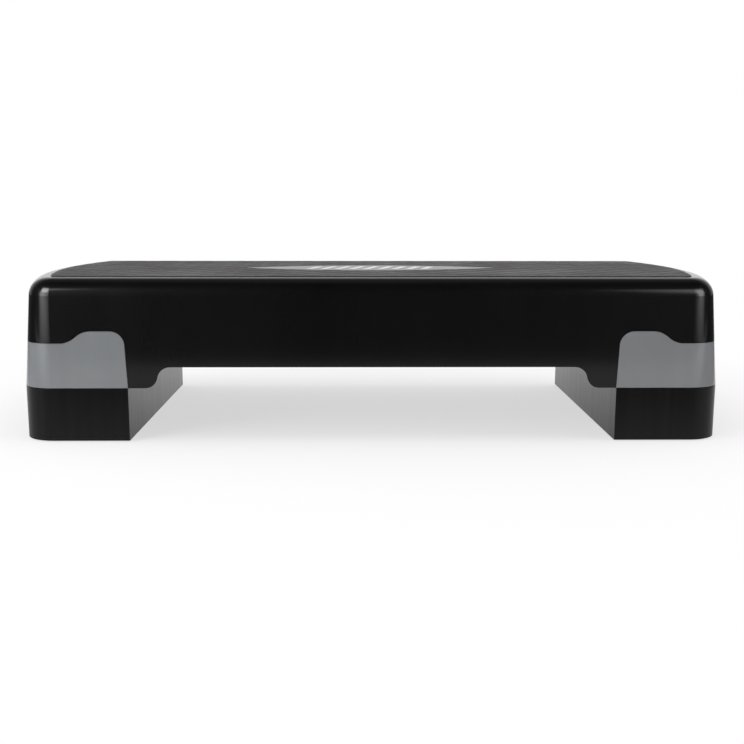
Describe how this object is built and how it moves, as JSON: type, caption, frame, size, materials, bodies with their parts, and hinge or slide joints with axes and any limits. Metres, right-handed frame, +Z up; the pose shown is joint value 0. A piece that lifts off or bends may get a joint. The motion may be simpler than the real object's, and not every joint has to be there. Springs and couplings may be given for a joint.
{
  "type": "aerobic step platform",
  "caption": "Low exercise step with bowed ends, a diamond-tread rubber top and grey end feet, standing on lift-off ribbed riser blocks that raise it to a second height.",
  "frame": {"origin": "on the floor, under the middle of the step as it stands on both risers", "axes": "+X along the length of the deck, -Y to the front that the picture shows, +Z up"},
  "size_m": [0.68, 0.28, 0.15],
  "materials": {
    "deck_plastic": "satin black moulded polypropylene",
    "tread_rubber": "dark grey rubber with raised diamonds",
    "badge_metal": "satin silver",
    "foot_plastic": "mid grey moulded plastic with a fine grain",
    "screw_steel": "zinc plated",
    "riser_plastic": "satin black moulded polypropylene",
    "pad_rubber": "matte black rubber"
  },
  "bodies": {
    "left_riser": {"left_riser_block": "riser_plastic", "left_riser_pads": "pad_rubber"},
    "platform": {"deck_shell": "deck_plastic", "tread_mat": "tread_rubber", "deck_badge": "badge_metal", "left_end_foot": "foot_plastic", "right_end_foot": "foot_plastic", "left_foot_screws": "screw_steel", "right_foot_screws": "screw_steel"},
    "right_riser": {"right_riser_block": "riser_plastic", "right_riser_pads": "pad_rubber"}
  },
  "joints": [
    {"name": "platform_lift", "type": "slide", "parent": "left_riser", "child": "platform", "axis": [0, 0, 1], "range_m": [0, 0.07]},
    {"name": "right_riser_release", "type": "slide", "parent": "platform", "child": "right_riser", "axis": [0, 0, -1], "range_m": [0, 0.07]}
  ],
  "couplings": [
    {"joint": "right_riser_release", "follows": "platform_lift", "ratio": 1}
  ]
}
